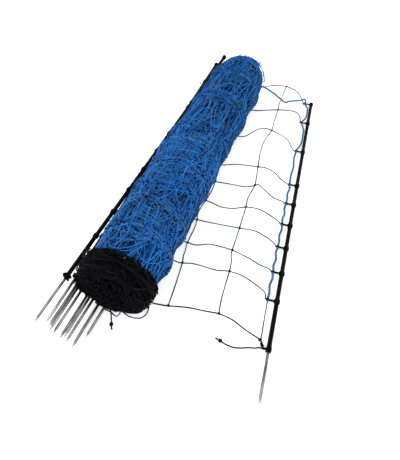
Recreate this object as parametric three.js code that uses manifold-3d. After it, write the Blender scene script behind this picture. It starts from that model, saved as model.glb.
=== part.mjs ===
// Electric netting against wolves, 1.2 m high, wound up with its posts and partly unrolled on level ground.
// Millimetres, +Z up. The roll lies along Y with the spikes towards -Y; the unrolled part reaches to +X.
import * as THREE from 'three';
import { mergeVertices } from 'three/addons/utils/BufferGeometryUtils.js';
import Module from 'manifold-3d';

const wasm = await Module();
wasm.setup();

// Netting
const NET_HEIGHT = 1200; // lowest strand to top strand, which lie along Y here
const STRETCH = NET_HEIGHT / 1200;
const STRAND_HEIGHTS = [0, 150, 250, 350, 450, 550, 650, 850, 1050, 1200].map((h) => h * STRETCH);
const STRAND_R = 1.5; // thin blue strand
const GROUND_R = 1.8; // black lowest strand
const KNOT_R = 3.8;
const CORD_R = 3; // twisted end cord, down to the second clip
const CORD_THIN_R = 1.6; // single strand below that
const TIE_R = 1.8;
const TIE_KNOT_R = 5;

// Posts
const POST_R = 6.5;
const POST_LOW = 6; // foot below the lowest strand
const POST_HIGH = 8; // head above the top strand
const POST_LENGTH = STRAND_HEIGHTS[9] + POST_LOW + POST_HIGH;
const POST_SIDES = 12;
const SPIKE_R = 4;
const SPIKE_OUT = 140; // what shows below the foot
const SPIKE_IN = 50; // what sits in the post
const SPIKE_POINT = 16;
const GAP = 0.3; // clearance between touching pieces

// Strand clips
const RING_R = 9;
const RING_H = 11;
const FOOT_BLOCK = 15; // side of the square collar at the foot
const ARM_REACH = 27; // post axis to the eye's axis
const ARM_W = 4.4;
const ARM_H = 5;
const EYE_R = 5.8;
const EYE_PLAY = 0.6; // between the cord and its eye
const EYE_H = 5;

// Roll
const ROLL_R = 109;
const SAG = 4; // the netting lies this much flattened on the ground
const ROLL_Z = ROLL_R - SAG;
const FOOT_Y = -554; // where the bundled posts' lowest strand lies
const ROLL_FOOT = FOOT_Y - 2;
const ROLL_BAND = FOOT_Y + 54; // where the black strand's band meets the blue netting
const ROLL_HEAD = FOOT_Y + NET_HEIGHT - 6;
const HEAD_ROUND = 40; // length over which the head rounds off
const ROLL_SIDES = 28;

// Heights along the net, which follow when it is made higher or lower
const along = (y) => FOOT_Y + (y - FOOT_Y) * STRETCH;
const lay = (points) => points.map((p) => [p[0], along(p[1]), p[2]]);

// Middle of the box around everything but the free cords
const TOP_LOOP = 732; // where the top strand's loop lies farthest out
const MID_X = 149.6;
const MID_Y = (FOOT_Y - 1 - POST_LOW - SPIKE_OUT + along(TOP_LOOP) + KNOT_R) / 2;

const plastic = { color: 0x0a090a, roughness: 0.45, metalness: 0 };
const black = { color: 0x101015, roughness: 0.75, metalness: 0 };
const blue = { color: 0x1e4b87, roughness: 0.6, metalness: 0 };
const thinBlue = { color: 0x234b5f, roughness: 0.6, metalness: 0 };
const steel = { color: 0x9a9a98, roughness: 0.35, metalness: 1 };

const group = new THREE.Group();
group.position.set(-MID_X, -MID_Y, 0);

const v = (x, y, z) => new THREE.Vector3(x, y, z);

// Solids for cutting and joining
function solid(geometry) {
  const g = geometry.clone();
  g.deleteAttribute('normal');
  g.deleteAttribute('uv');
  const m = mergeVertices(g, 1e-4);
  return new wasm.Manifold(new wasm.Mesh({
    numProp: 3,
    vertProperties: new Float32Array(m.attributes.position.array),
    triVerts: new Uint32Array(m.index.array),
  }));
}

function geometryOf(manifold) {
  const mesh = manifold.getMesh();
  const g = new THREE.BufferGeometry();
  g.setAttribute('position', new THREE.BufferAttribute(mesh.vertProperties, 3));
  g.setIndex(new THREE.BufferAttribute(mesh.triVerts, 1));
  g.computeVertexNormals();
  return g;
}

function join(list) {
  return list.reduce((a, b) => a.add(b));
}

function addMesh(name, geometry, look) {
  const mesh = new THREE.Mesh(geometry, new THREE.MeshStandardMaterial(look));
  mesh.name = name;
  group.add(mesh);
  return mesh;
}

// A section swept along a smooth line through hand-placed points
function tube(points, radius, sides, steps) {
  const section = new THREE.Shape();
  for (let i = 0; i < sides; i += 1) {
    const a = (2 * Math.PI * (i + 0.5)) / sides;
    if (i === 0) {
      section.moveTo(radius * Math.cos(a), radius * Math.sin(a));
    } else {
      section.lineTo(radius * Math.cos(a), radius * Math.sin(a));
    }
  }
  section.closePath();
  const path = new THREE.CatmullRomCurve3(points.map((p) => v(p[0], p[1], p[2])), false, 'centripetal');
  return new THREE.ExtrudeGeometry(section, { steps, bevelEnabled: false, extrudePath: path });
}

// A turned piece: pairs of radius and height, closed on the axis or on itself
function turned(profile, sides) {
  return new THREE.LatheGeometry(profile.map((p) => new THREE.Vector2(p[0], p[1])), sides);
}

// A post's place: foot strand level, and the turn that sets its height along the line to the head
function placeOf(foot, head) {
  const from = v(...foot);
  const dir = v(...head).sub(from).normalize();
  const side = v(-1, 0, 0);
  side.addScaledVector(dir, -side.dot(dir)).normalize();
  const third = new THREE.Vector3().crossVectors(side, dir);
  const m = new THREE.Matrix4().makeBasis(side, dir, third);
  m.setPosition(from);
  return m;
}

// Post with the bore for its spike, moulded in one with its clips
function postGeometry(kinds) {
  const rod = turned([
    [0, -POST_LOW],
    [POST_R, -POST_LOW],
    [POST_R, POST_LENGTH - POST_LOW - 1.5],
    [POST_R - 1.5, POST_LENGTH - POST_LOW],
    [0, POST_LENGTH - POST_LOW],
  ], POST_SIDES);
  const bore = new THREE.CylinderGeometry(SPIKE_R + GAP, SPIKE_R + GAP, 2 * SPIKE_IN, 10);
  bore.translate(0, -POST_LOW, 0);
  let body = solid(rod);
  STRAND_HEIGHTS.forEach((h, i) => {
    if (kinds[i]) {
      body = body.add(clipSolid(h, kinds[i]));
    }
  });
  return geometryOf(body.subtract(solid(bore)));
}

function spikeGeometry() {
  return turned([
    [0, -POST_LOW - SPIKE_OUT],
    [SPIKE_R, -POST_LOW - SPIKE_OUT + SPIKE_POINT],
    [SPIKE_R, -POST_LOW + SPIKE_IN - GAP],
    [0, -POST_LOW + SPIKE_IN - GAP],
  ], 10);
}

// One clip, at the height h: a collar, and where asked an arm with an eye for the end cord
function clipSolid(h, kind) {
  const foot = kind === 'foot' || kind === 'foot_arm';
  let body = solid(foot
    ? new THREE.BoxGeometry(FOOT_BLOCK, RING_H, FOOT_BLOCK)
    : new THREE.CylinderGeometry(RING_R, RING_R, RING_H, POST_SIDES));
  if (kind === 'eye' || kind === 'foot_arm') {
    const reach = foot ? ARM_REACH - 8 : ARM_REACH - EYE_R + 1;
    const arm = new THREE.BoxGeometry(reach, ARM_H, ARM_W);
    arm.translate(reach / 2, 0, 0);
    body = body.add(solid(arm));
  }
  if (kind === 'eye') {
    const eye = new THREE.CylinderGeometry(EYE_R, EYE_R, EYE_H, 10);
    eye.translate(ARM_REACH, 0, 0);
    const cordHole = new THREE.CylinderGeometry(CORD_R + EYE_PLAY, CORD_R + EYE_PLAY, EYE_H * 2, 10);
    cordHole.translate(ARM_REACH, 0, 0);
    body = body.add(solid(eye)).subtract(solid(cordHole));
  }
  return body.translate([0, h, 0]);
}

// Bundled posts: the axis's place at the foot and the head as [inwards from the roll's side, height],
// and how far along Y the foot lies past the others
const LOW = FOOT_BLOCK / 2; // a post that lies on the ground on its foot collar
const BUNDLE = [
  { foot: [-32.5, 95.8], head: [17, 170], past: 0 },
  { foot: [-11, 90], head: [-24, 121], past: 12 },
  { foot: [-5, 74.6], head: [-9, 96], past: 7 },
  { foot: [-5, 59.3], head: [-6, 78], past: 3 },
  { foot: [1, 44], head: [0, 61], past: 3 },
  { foot: [16.3, 28.5], head: [9, 45], past: 3 },
  { foot: [37, 50], head: [21, 31], past: 3 },
  { foot: [35, 20], head: [34, 17], past: 3 },
  { foot: [52, LOW], head: [52, LOW], past: -1 },
  { foot: [72, LOW], head: [72, LOW], past: 38 },
];
const FREE_FOOT = [433.6, -519.8, RING_R];
const FREE_HEAD = [318, along(675), RING_R];

const two = (n) => String(n).padStart(2, '0');
const cutters = [];

function addPost(number, foot, head, kinds) {
  const place = placeOf(foot, head);
  const put = (name, geometry, look) => {
    geometry.applyMatrix4(place);
    addMesh(name, geometry, look);
  };
  put(`post_${two(number)}`, postGeometry(kinds), plastic);
  put(`spike_${two(number)}`, spikeGeometry(), steel);
  return place;
}

function cutFor(place, kinds) {
  const r = POST_R + GAP + 0.1;
  const below = 60; // the innermost spike leaves through the netting
  const shaft = new THREE.CylinderGeometry(r, r, POST_LENGTH + below + 4, POST_SIDES);
  shaft.translate(0, (POST_LENGTH - below) / 2 - POST_LOW, 0);
  const list = [solid(shaft.applyMatrix4(place))];
  STRAND_HEIGHTS.forEach((h, i) => {
    if (kinds[i]) {
      const side = kinds[i] === 'foot' ? FOOT_BLOCK + 0.8 : 2 * RING_R + 0.8;
      const box = kinds[i] === 'foot'
        ? new THREE.BoxGeometry(side, RING_H + 0.8, side)
        : new THREE.CylinderGeometry(side / 2, side / 2, RING_H + 0.8, POST_SIDES);
      box.translate(0, h, 0);
      list.push(solid(box.applyMatrix4(place)));
    }
  });
  cutters.push(join(list));
}

BUNDLE.forEach((post, i) => {
  const foot = [post.foot[0] - ROLL_R, FOOT_Y + post.past, post.foot[1]];
  const head = [post.head[0] - ROLL_R, FOOT_Y + post.past + NET_HEIGHT, post.head[1]];
  const outer = i < 2;
  const kinds = STRAND_HEIGHTS.map((h, k) => (k === 0 ? 'foot' : outer && 'ring'));
  cutFor(addPost(i + 1, foot, head, kinds), kinds);
});
const freeKinds = STRAND_HEIGHTS.map((h, k) => (k === 0 ? 'foot_arm' : 'eye'));
const freePlace = addPost(11, FREE_FOOT, FREE_HEAD, freeKinds);

// Wound netting: a soft bundle lying on the ground, dented by the posts
function wound(profile) {
  const g = turned(profile, ROLL_SIDES);
  const p = g.attributes.position;
  for (let i = 0; i < p.count; i += 1) {
    p.setZ(i, Math.max(p.getZ(i) + ROLL_Z, 0));
  }
  return cutters.reduce((body, cutter) => body.subtract(cutter), solid(g));
}

const blueProfile = [
  [0, ROLL_BAND + GAP],
  [ROLL_R, ROLL_BAND + GAP],
  [ROLL_R, ROLL_HEAD - HEAD_ROUND],
  [ROLL_R - 6, ROLL_HEAD - 12],
  [ROLL_R - 30, ROLL_HEAD],
  [0, ROLL_HEAD],
];
addMesh('netting_roll', geometryOf(wound(blueProfile)), blue);

const bandProfile = [
  [0, ROLL_FOOT],
  [ROLL_R - 40, ROLL_FOOT],
  [ROLL_R - 12, ROLL_FOOT + 8],
  [ROLL_R, ROLL_FOOT + 26],
  [ROLL_R, ROLL_BAND],
  [0, ROLL_BAND],
];
addMesh('netting_roll_foot', geometryOf(wound(bandProfile)), black);

// Unrolled netting: strands from the roll to the end cord's eyes, with the two stays that show
function rollX(z) {
  const facet = 0.35; // the turned side lies this far inside its true circle there
  return Math.sqrt(ROLL_R * ROLL_R - (ROLL_Z - z) * (ROLL_Z - z)) + GAP + STRAND_R - facet;
}
function eyeAt(h, out, lift) {
  const p = v(ARM_REACH + out, h, 0).applyMatrix4(freePlace);
  return [p.x, p.y, p.z + lift];
}
const FLOOR = STRAND_R + 0.6;
const REST = EYE_R + GAP + STRAND_R;

// Lowest strand first, from the roll towards the post
const strands = [
  [[rollX(9), -338, 9], [93, -339, 3], [110, -337, FLOOR], [142, -327, FLOOR], [184, -325, FLOOR],
    [220, -324, FLOOR], [257, -314, FLOOR], [301, -316, FLOOR], [343, -331, 3], [377, -350, 6]],
  [[rollX(9), -257, 9], [95, -256, 3], [127, -254, FLOOR], [162, -237, FLOOR], [198, -233, FLOOR],
    [240, -233, FLOOR], [292, -243, FLOOR], [339, -258, 3], [368, -264, 6]],
  [[rollX(9), -156, 9], [88, -152, 3], [130, -148, FLOOR], [175, -143, FLOOR], [234, -136, FLOOR],
    [282, -129, FLOOR], [327, -142, 3], [358, -161, 6]],
  [[rollX(9), -52, 9], [84, -55, 3], [112, -58, FLOOR], [144, -65, FLOOR], [186, -57, FLOOR],
    [226, -35, FLOOR], [268, -28, FLOOR], [307, -40, 3], [346, -62, 6]],
  [[rollX(9), 45, 9], [82, 49, 3], [137, 57, FLOOR], [197, 64, FLOOR], [225, 83, FLOOR],
    [237, 92, FLOOR], [271, 68, FLOOR], [307, 43, 3], [338, 35, 6]],
  [[rollX(9), 142, 9], [74, 145, 4], [132, 173, FLOOR], [208, 187, FLOOR], [238, 192, FLOOR],
    [273, 179, FLOOR], [308, 148, 3], [332, 131, 6]],
  [[rollX(22), 316, 22], [96, 320, 21], [116, 334, 22], [144, 382, 24], [173, 398, 29],
    [205, 394, 30], [251, 386, 22], [280, 370, 17], [304, 336, 12]],
  [[rollX(9), 540, 9], [83, 547, 3], [122, 563, FLOOR], [187, 592, FLOOR], [240, 603, 4],
    [275, 590, 7], [294, 552, 8]],
  [[rollX(80), 604, 80], [127, 678, 60], [155, 717, 46], [187, TOP_LOOP, 40], [219, 727, 36],
    [246, 722, 26], [266, 706, 12], [279, 688, 5]],
];
const stays = [
  [[187, TOP_LOOP, 40], [186, 690, 33], [185, 653, 24], [183, 622, 10], [187, 592, FLOOR], [191, 540, 5],
    [195, 486, 14], [205, 394, 30], [196, 340, 26], [193, 297, 20], [197, 247, 9], [208, 187, FLOOR],
    [217, 134, FLOOR], [225, 83, FLOOR], [221, 32, FLOOR], [220, 5, FLOOR], [226, -35, FLOOR],
    [230, -89, FLOOR], [234, -136, FLOOR], [237, -185, FLOOR], [240, -233, FLOOR], [244, -257, FLOOR],
    [251, -275, FLOOR], [257, -314, FLOOR], [262, -373, FLOOR], [266, -415, FLOOR],
    [274.5, -463 + GROUND_R + GAP + STRAND_R, FLOOR]],
  [[62, 108, 4], [72, 80, FLOOR], [82, 49, 3], [86, 3, FLOOR], [84, -55, 3], [79, -96, FLOOR],
    [80, -127, FLOOR], [88, -152, 3], [93, -190, FLOOR], [95, -256, 3], [100, -286, FLOOR],
    [103, -311, FLOOR], [110, -337, FLOOR], [121, -412, FLOOR],
    [130.5, -491 + GROUND_R + GAP + STRAND_R, FLOOR]],
];
// Knots: for each stay, the places where a strand crosses it
const knots = [
  [187, TOP_LOOP, 40], [187, 592, FLOOR], [205, 394, 30], [208, 187, FLOOR], [225, 83, FLOOR],
  [226, -35, FLOOR], [234, -136, FLOOR], [240, -233, FLOOR], [257, -314, FLOOR],
  [82, 49, 3], [84, -55, 3], [88, -152, 3],
  [95, -256, 3], [110, -337, FLOOR],
];
const net = [];
strands.forEach((points, i) => {
  const h = STRAND_HEIGHTS[i + 1];
  const route = [...lay(points), eyeAt(h, REST, i === 8 ? -4 : 0)];
  net.push(solid(tube(route, STRAND_R, 6, 2 * points.length + 2)));
});
stays.forEach((points) => {
  net.push(solid(tube(lay(points), STRAND_R, 6, 2 * points.length)));
});
knots.forEach((p) => {
  const knot = new THREE.OctahedronGeometry(KNOT_R, 1);
  knot.translate(p[0], along(p[1]), Math.max(p[2], KNOT_R));
  net.push(solid(knot));
});
addMesh('netting_panel', geometryOf(join(net)), thinBlue);

// Black lowest strand, with the knots that the stays are tied to it with
const G = GROUND_R + 0.6;
const line = [[rollX(12) + 0.4, -506, 12], [84, -500, 4], [106, -496, G], [130.5, -491, G], [185, -476, G],
  [235, -469, G], [274.5, -463, G], [315, -467, G], [358, -485, G], [392, -496, G],
  [408, -507, 4], [416, -517.6, 8.5]];
addMesh('ground_strand', tube(line, GROUND_R, 6, 30), black);

// End cord: out of the roll's head, over to the last post and down through the eyes
const cordTop = [[rollX(92) + 1, 592, 92], [151, 619, 62], [206, 616, 32], [222, 640, 25], [258, 668, 20],
  [280, 696, 15], [288, 698, 11]];
const cordDown = [];
for (let i = 9; i >= 1; i -= 1) {
  const h = STRAND_HEIGHTS[i];
  cordDown.push(eyeAt(h + 5, 0, 0), eyeAt(h - 5, 0, 0));
  if (i > 1) {
    const half = (h - STRAND_HEIGHTS[i - 1]) / 2;
    cordDown.push(eyeAt(h - half, i % 2 ? 1.5 : -1, 0));
  }
}
addMesh('end_cord', tube([...lay(cordTop), ...cordDown], CORD_R, 8, 78), blue);
const lastEye = eyeAt(STRAND_HEIGHTS[1] - 5, 0, 0);
addMesh('end_cord_tail', tube([
  [lastEye[0] + 0.03, lastEye[1] - GAP, lastEye[2]],
  [395, -396, 5],
  [400, -440, 2],
  [405, -480, 2],
  [406, -494.5, 4.5],
], CORD_THIN_R, 8, 12), blue);

// Free cords, each with the knot at its end
const armEnd = v(ARM_REACH - 8 + GAP, 0, 0).applyMatrix4(freePlace);
const tie = [[armEnd.x, armEnd.y, armEnd.z], [406, -523.5, 7.5], [398, -526.5, 4],
  [385, -529, TIE_R + 0.6], [353, -542, TIE_R + 0.6], [329, -544, TIE_R + 0.6], [310, -540.5, TIE_R + 0.7]];
addMesh('tie_cord_post', tube(tie, TIE_R, 8, 20), black);
const tail = [[-12, ROLL_FOOT - GAP, 38], [-12, ROLL_FOOT - 5, 38], [-11.5, ROLL_FOOT - 11, 32],
  [-11, -570, 14], [-6, -580, TIE_R + 0.6], [4, -597, TIE_R + 0.7]];
addMesh('tie_cord_roll', tube(tail, TIE_R, 8, 12), black);
[['tie_knot_post', tie, [291, -548]], ['tie_knot_roll', tail, [14, -607]]].forEach(([name, points, end]) => {
  const last = v(...points[points.length - 1]);
  const dir = v(end[0] - last.x, end[1] - last.y, 0).normalize();
  const at = last.clone().addScaledVector(dir, TIE_KNOT_R + GAP);
  const ball = new THREE.OctahedronGeometry(TIE_KNOT_R, 1);
  ball.translate(at.x, at.y, TIE_KNOT_R);
  const stub = new THREE.CylinderGeometry(TIE_R, TIE_R, 10, 8);
  stub.rotateZ(Math.PI / 2);
  stub.rotateZ(Math.atan2(dir.y, dir.x));
  stub.translate(at.x + dir.x * 7, at.y + dir.y * 7, TIE_R + 0.3);
  addMesh(name, geometryOf(solid(ball).add(solid(stub))), black);
});

export default group;
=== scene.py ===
import math
import random

import bmesh
import bpy
from mathutils import Matrix, Vector


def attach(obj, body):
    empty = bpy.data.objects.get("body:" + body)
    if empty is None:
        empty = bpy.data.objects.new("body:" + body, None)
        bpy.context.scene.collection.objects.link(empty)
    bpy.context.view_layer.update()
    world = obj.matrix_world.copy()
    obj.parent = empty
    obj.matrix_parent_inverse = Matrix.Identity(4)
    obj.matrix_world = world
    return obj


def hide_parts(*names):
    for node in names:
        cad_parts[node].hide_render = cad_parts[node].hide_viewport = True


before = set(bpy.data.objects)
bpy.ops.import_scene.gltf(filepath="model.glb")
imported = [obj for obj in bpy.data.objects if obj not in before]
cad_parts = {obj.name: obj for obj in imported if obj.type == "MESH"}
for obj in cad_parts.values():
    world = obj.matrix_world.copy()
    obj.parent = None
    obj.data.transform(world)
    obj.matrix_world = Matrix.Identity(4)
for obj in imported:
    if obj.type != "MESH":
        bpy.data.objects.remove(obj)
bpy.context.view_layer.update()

bl_info = {
    "name": "Wound Wolf Netting",
    "version": (1, 0, 0),
    "blender": (4, 5, 0),
    "location": "3D View > Sidebar > Netting",
    "description": "Dresses a bundle of electric netting with its posts, strands and cords",
    "category": "Add Mesh",
}

MM = 0.001
# The CAD's origin lies here in the drawing coordinates that the routes below use
MID_X, MID_Y = 149.6, 17.4
ROLL_Z = 105.0
ROLL_FOOT = -556.0
ROLL_HEAD = 640.0
FOOT_Y = -554.0
SKIN_R = 108.0
DEPTH = 17.0
# Painted shade: strands this many millimetres below the wound netting's outside begin to darken, and end
# black
SHADE_FROM, SHADE_TO = 0.5, 12.0
HEIGHTS = (0, 150, 250, 350, 450, 550, 650, 850, 1050, 1200)
POSTS = range(1, 12)
BUNDLED = POSTS[:-1]
NET_HEIGHT = 1200.0
# A full turn in radians, as the tangle's steps and as its random draws take it
STEP_TURN, DRAW_TURN = 6.283, 6.28
# Where the black lowest strand's tangle starts and ends along the roll
BLACK_FROM, BLACK_TO = -553, -500
# Faces that meet at less than these angles in degrees are shaded as one
STRAND_EDGE, POST_EDGE, SPIKE_EDGE = 50, 34, 38
MERGE = 0.00001
MERGE_STRAND = 0.00002
GROUND_GAP = 1.6


# Helpers


def at(x, y, z):
    """A drawing point in millimetres as a scene point in metres."""
    return Vector(((x - MID_X) * MM, (y - MID_Y) * MM, z * MM))


def rolled(angle, radius, y):
    """A point beside the roll's axis, kept above the ground."""
    z = max(ROLL_Z + radius * math.sin(angle), GROUND_GAP)
    return at(radius * math.cos(angle), y, z)


def deselect():
    if bpy.context.object and bpy.context.object.mode != 'OBJECT':
        bpy.ops.object.mode_set(mode='OBJECT')
    bpy.ops.object.select_all(action='DESELECT')


def activate(obj):
    deselect()
    obj.select_set(True)
    bpy.context.view_layer.objects.active = obj
    return obj


def settle(obj):
    """Put a piece's place into its mesh and its origin at the world's."""
    activate(obj)
    bpy.ops.object.transform_apply(location=True, rotation=True, scale=True)
    return obj


def smooth(points, steps):
    """A centripetal-looking smooth line through the given points."""
    line = []
    for i in range(len(points) - 1):
        a = points[max(i - 1, 0)]
        b = points[i]
        c = points[i + 1]
        d = points[min(i + 2, len(points) - 1)]
        for k in range(steps):
            t = k / steps
            line.append(0.5 * ((2 * b) + (c - a) * t + (2 * a - 5 * b + 4 * c - d) * t * t
                               + (3 * b - a - 3 * c + d) * t * t * t))
    line.append(points[-1].copy())
    return line


def strand_mesh(name, lines, radius, sides=4, scales=None):
    """Sweep a round section along many lines as one mesh piece."""
    curve = bpy.data.curves.new(name, 'CURVE')
    curve.dimensions = '3D'
    curve.bevel_depth = radius
    curve.bevel_resolution = (sides - 4) // 2
    curve.use_fill_caps = True
    for index, line in enumerate(lines):
        spline = curve.splines.new('POLY')
        spline.points.add(len(line) - 1)
        for point, place in zip(spline.points, line):
            point.co = (place.x, place.y, max(place.z, radius), 1.0)
            point.radius = scales[index] if scales else 1.0
        spline.use_smooth = True
    obj = bpy.data.objects.new(name, curve)
    bpy.context.scene.collection.objects.link(obj)
    activate(obj)
    bpy.ops.object.convert(target='MESH')
    obj = bpy.context.object
    obj.name = name
    bpy.ops.object.mode_set(mode='EDIT')
    bpy.ops.mesh.select_all(action='SELECT')
    bpy.ops.mesh.remove_doubles(threshold=MERGE_STRAND)
    bpy.ops.mesh.normals_make_consistent(inside=False)
    bpy.ops.object.mode_set(mode='OBJECT')
    bpy.ops.object.shade_smooth_by_angle(angle=math.radians(STRAND_EDGE))
    return obj


def copy_of_node(node, name):
    """A merged copy of a CAD node, left active, to finish by hand."""
    deselect()
    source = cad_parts[node]
    obj = source.copy()
    obj.data = source.data.copy()
    obj.name = name
    for key in list(obj.keys()):
        del obj[key]
    obj.parent = None
    obj.animation_data_clear()
    obj.modifiers.clear()
    bpy.context.scene.collection.objects.link(obj)
    obj.hide_render = False
    obj.hide_viewport = False
    activate(obj)
    bpy.ops.object.mode_set(mode='EDIT')
    bpy.ops.mesh.select_all(action='SELECT')
    bpy.ops.mesh.remove_doubles(threshold=MERGE)
    bpy.ops.object.mode_set(mode='OBJECT')
    return obj


def paint(obj, material):
    obj.data.materials.clear()
    obj.data.materials.append(material)


def keep(obj, slot, *nodes):
    """Fix a piece to the part's only body and hide the CAD nodes that it replaces; its slot argument is not
    used.
    """
    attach(obj, "root")
    if nodes:
        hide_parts(*nodes)
    return obj


# Materials


def new_material(name):
    """A new material with a bare Principled shader, or the one of that name, with no tree, if it is made."""
    material = bpy.data.materials.get(name)
    if material:
        return material, None, None, None
    material = bpy.data.materials.new(name)
    material.use_nodes = True
    tree = material.node_tree
    tree.nodes.clear()
    out = tree.nodes.new('ShaderNodeOutputMaterial')
    shader = tree.nodes.new('ShaderNodeBsdfPrincipled')
    tree.links.new(shader.outputs[0], out.inputs[0])
    return material, tree, shader, tree.links


def strand_group():
    """Shared look of the strands: tone from strand to strand, a fine twist with painted glints, and painted
    shade that darkens them deep inside the roll.
    """
    group = bpy.data.node_groups.get("Strand tone")
    if group:
        return group
    group = bpy.data.node_groups.new("Strand tone", 'ShaderNodeTree')
    face = group.interface
    face.new_socket(name="Dark", in_out='INPUT', socket_type='NodeSocketColor')
    face.new_socket(name="Light", in_out='INPUT', socket_type='NodeSocketColor')
    face.new_socket(name="Painted glint", in_out='INPUT', socket_type='NodeSocketColor')
    face.new_socket(name="Painted glint amount", in_out='INPUT', socket_type='NodeSocketFloat')
    face.new_socket(name="Tone", in_out='INPUT', socket_type='NodeSocketFloat')
    face.new_socket(name="Weathered", in_out='INPUT', socket_type='NodeSocketColor')
    face.new_socket(name="Depth", in_out='INPUT', socket_type='NodeSocketFloat')
    face.new_socket(name="Color", in_out='OUTPUT', socket_type='NodeSocketColor')
    face.new_socket(name="Height", in_out='OUTPUT', socket_type='NodeSocketFloat')
    nodes, links = group.nodes, group.links
    enter = nodes.new('NodeGroupInput')
    leave = nodes.new('NodeGroupOutput')
    coord = nodes.new('ShaderNodeTexCoord')
    twist = nodes.new('ShaderNodeTexNoise')
    twist.inputs['Scale'].default_value = 900.0
    twist.inputs['Detail'].default_value = 2.0
    patch = nodes.new('ShaderNodeTexNoise')
    patch.inputs['Scale'].default_value = 55.0
    patch.inputs['Detail'].default_value = 3.0
    links.new(coord.outputs['Object'], twist.inputs['Vector'])
    links.new(coord.outputs['Object'], patch.inputs['Vector'])
    mix = nodes.new('ShaderNodeMix')
    mix.data_type = 'RGBA'
    ease = nodes.new('ShaderNodeMath')
    ease.operation = 'MULTIPLY_ADD'
    links.new(patch.outputs['Fac'], ease.inputs[0])
    ease.inputs[1].default_value = 0.9
    shift = nodes.new('ShaderNodeMath')
    shift.operation = 'SUBTRACT'
    links.new(enter.outputs['Tone'], shift.inputs[0])
    shift.inputs[1].default_value = 0.45
    links.new(shift.outputs[0], ease.inputs[2])
    clamp = nodes.new('ShaderNodeClamp')
    links.new(ease.outputs[0], clamp.inputs['Value'])
    links.new(clamp.outputs[0], mix.inputs['Factor'])
    links.new(enter.outputs['Dark'], mix.inputs['A'])
    links.new(enter.outputs['Light'], mix.inputs['B'])
    # Painted glints: the fine twist noise's highest spots are coloured bright, where the twisted strands and
    # their steel filaments would catch the light
    ramp = nodes.new('ShaderNodeMapRange')
    ramp.inputs['From Min'].default_value = 0.62
    ramp.inputs['From Max'].default_value = 0.72
    links.new(twist.outputs['Fac'], ramp.inputs['Value'])
    amount = nodes.new('ShaderNodeMath')
    amount.operation = 'MULTIPLY'
    links.new(ramp.outputs['Result'], amount.inputs[0])
    links.new(enter.outputs['Painted glint amount'], amount.inputs[1])
    painted_glint = nodes.new('ShaderNodeMix')
    painted_glint.data_type = 'RGBA'
    links.new(amount.outputs[0], painted_glint.inputs['Factor'])
    shuffle = nodes.new('ShaderNodeMath')
    shuffle.operation = 'MULTIPLY'
    links.new(enter.outputs['Tone'], shuffle.inputs[0])
    shuffle.inputs[1].default_value = 37.0
    other = nodes.new('ShaderNodeMath')
    other.operation = 'FRACT'
    links.new(shuffle.outputs[0], other.inputs[0])
    few = nodes.new('ShaderNodeMapRange')
    few.inputs['From Min'].default_value = 0.6
    few.inputs['To Max'].default_value = 0.8
    links.new(other.outputs[0], few.inputs['Value'])
    grey = nodes.new('ShaderNodeMix')
    grey.data_type = 'RGBA'
    links.new(few.outputs['Result'], grey.inputs['Factor'])
    links.new(mix.outputs['Result'], grey.inputs['A'])
    links.new(enter.outputs['Weathered'], grey.inputs['B'])
    links.new(grey.outputs['Result'], painted_glint.inputs['A'])
    links.new(enter.outputs['Painted glint'], painted_glint.inputs['B'])
    # Painted shade: the deeper a strand lies below the wound netting's outside, the darker its colour, down
    # to nearly black
    inside = nodes.new('ShaderNodeMapRange')
    inside.inputs['From Min'].default_value = SHADE_FROM
    inside.inputs['From Max'].default_value = SHADE_TO
    inside.inputs['To Min'].default_value = 1.0
    inside.inputs['To Max'].default_value = 0.02
    links.new(enter.outputs['Depth'], inside.inputs['Value'])
    shade = nodes.new('ShaderNodeVectorMath')
    shade.operation = 'SCALE'
    links.new(painted_glint.outputs['Result'], shade.inputs[0])
    links.new(inside.outputs['Result'], shade.inputs['Scale'])
    links.new(shade.outputs[0], leave.inputs['Color'])
    links.new(twist.outputs['Fac'], leave.inputs['Height'])
    return group


# The fleck colour and amount are the strands' painted glints
def strand_material(name, dark, light, weathered, painted_glint, painted_glint_amount, roughness, specular=0.3):
    material, tree, shader, links = new_material(name)
    if tree is None:
        return material
    tone = tree.nodes.new('ShaderNodeGroup')
    tone.node_tree = strand_group()
    tone.inputs['Dark'].default_value = (*dark, 1)
    tone.inputs['Light'].default_value = (*light, 1)
    tone.inputs['Painted glint'].default_value = (*painted_glint, 1)
    tone.inputs['Weathered'].default_value = (*weathered, 1)
    tone.inputs['Painted glint amount'].default_value = painted_glint_amount
    geometry = tree.nodes.new('ShaderNodeNewGeometry')
    links.new(geometry.outputs['Random Per Island'], tone.inputs['Tone'])
    # The stored depth below the outside drives the strands' painted shade; pieces without it keep their full
    # tone
    depth = tree.nodes.new('ShaderNodeAttribute')
    depth.attribute_name = "Depth"
    links.new(depth.outputs['Fac'], tone.inputs['Depth'])
    links.new(tone.outputs['Color'], shader.inputs['Base Color'])
    bump = tree.nodes.new('ShaderNodeBump')
    bump.inputs['Strength'].default_value = 0.5
    bump.inputs['Distance'].default_value = 0.0004
    links.new(tone.outputs['Height'], bump.inputs['Height'])
    links.new(bump.outputs[0], shader.inputs['Normal'])
    shader.inputs['Roughness'].default_value = roughness
    shader.inputs['Specular IOR Level'].default_value = specular
    return material


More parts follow.
